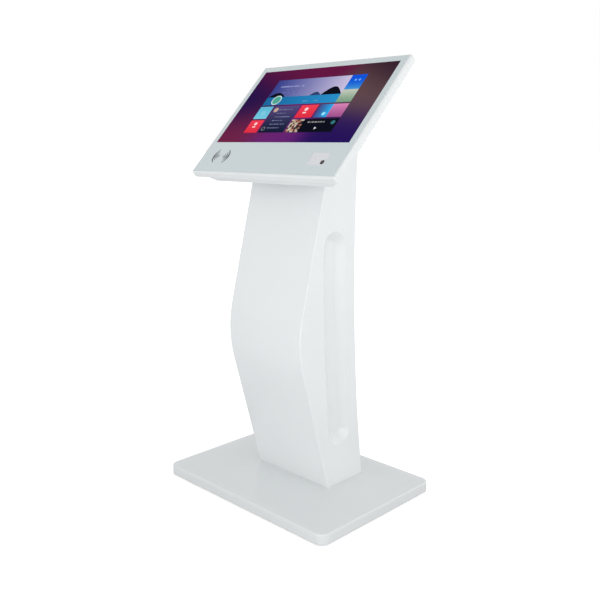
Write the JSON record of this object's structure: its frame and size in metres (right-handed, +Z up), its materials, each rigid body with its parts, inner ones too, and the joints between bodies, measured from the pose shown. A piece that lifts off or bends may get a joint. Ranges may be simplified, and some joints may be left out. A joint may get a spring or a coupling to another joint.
{
  "type": "touchscreen kiosk",
  "caption": "Free-standing information kiosk: bowed steel column on a flat base, tilted touch screen head with card reader and scanner, lockable rear door.",
  "frame": {"origin": "middle of the base on the floor", "axes": "+X to the right of a user facing the screen, -Y towards the user, +Z up"},
  "size_m": [0.6, 0.43, 1.1416],
  "materials": {
    "white_paint": "gloss",
    "raw_steel": "zinc plated",
    "bright_steel": "nickel plated",
    "foot_rubber": "matte",
    "black_plastic": "fine texture",
    "white_plastic": "gloss",
    "rocker_red": "gloss",
    "aluminium": "satin",
    "dark_metal": "satin",
    "cover_glass": "back-printed gloss",
    "lcd_face": "gloss",
    "circuit_board": "solder mask",
    "sensor_black": "gloss",
    "foam_tape": "matte",
    "cable_jacket": "matte"
  },
  "bodies": {
    "stand": {"base_cover": "white_paint", "ballast_plate": "raw_steel", "base_feet": "foot_rubber", "base_bolts": "raw_steel", "column_front_panel": "white_paint", "column_side_left": "white_paint", "column_side_right": "white_paint", "column_rear_panel": "white_paint", "pocket_left": "white_paint", "pocket_right": "white_paint", "column_flange": "raw_steel", "column_top_plate": "raw_steel", "lower_shelf": "raw_steel", "upper_shelf": "raw_steel", "pc_case": "dark_metal", "pc_heatsink": "aluminium", "power_supply": "aluminium", "socket_strip": "white_plastic", "power_inlet": "black_plastic", "button_body": "bright_steel", "fan_frame": "black_plastic", "fan_guard": "dark_metal", "fan_screws": "bright_steel", "hinge_leaves_fixed": "bright_steel", "hinge_pins": "bright_steel", "lock_keeper": "raw_steel", "head_frame": "white_paint", "glass_tape": "foam_tape", "cover_glass": "cover_glass", "lcd_module": "lcd_face", "lcd_rails": "raw_steel", "display_board": "circuit_board", "touch_controller": "circuit_board", "rfid_board": "circuit_board", "scanner_bezel": "white_plastic", "scanner_sensor": "sensor_black", "scanner_board": "circuit_board", "speaker_left": "black_plastic", "speaker_right": "black_plastic", "head_rear_housing": "white_paint", "head_service_cover": "white_paint", "cover_screws": "bright_steel", "head_mount_plate": "raw_steel", "head_bolts": "bright_steel", "display_cable": "cable_jacket", "mains_cable": "cable_jacket"},
    "door": {"rear_door": "white_paint", "hinge_leaves_door": "bright_steel", "lock_body": "bright_steel"},
    "lock": {"lock_cam": "bright_steel"},
    "rocker": {"rocker_switch": "rocker_red"},
    "button": {"button_cap": "bright_steel"},
    "fan": {"fan_rotor": "black_plastic"}
  },
  "joints": [
    {"name": "door_swing", "type": "hinge", "parent": "stand", "child": "door", "pos_m": [-0.099, 0.0935, 0.64], "axis": [0, 0, 1], "range_deg": [0, 110]},
    {"name": "lock_turn", "type": "hinge", "parent": "door", "child": "lock", "pos_m": [0.078, 0.08, 0.64], "axis": [0, -1, 0], "range_deg": [0, 90]},
    {"name": "rocker_tilt", "type": "hinge", "parent": "stand", "child": "rocker", "pos_m": [-0.021, 0.11352, 0.09489], "axis": [1, 0, 0], "range_deg": [0, 10]},
    {"name": "button_press", "type": "slide", "parent": "stand", "child": "button", "axis": [0, -0.9934, -0.1145], "range_m": [0, 0.002], "stiffness_N_per_m": 600, "springref_m": -0.001},
    {"name": "fan_spin", "type": "hinge", "parent": "stand", "child": "fan", "pos_m": [0, 0.08194, 0.90559], "axis": [0, 0.9983, -0.059], "continuous": true}
  ]
}
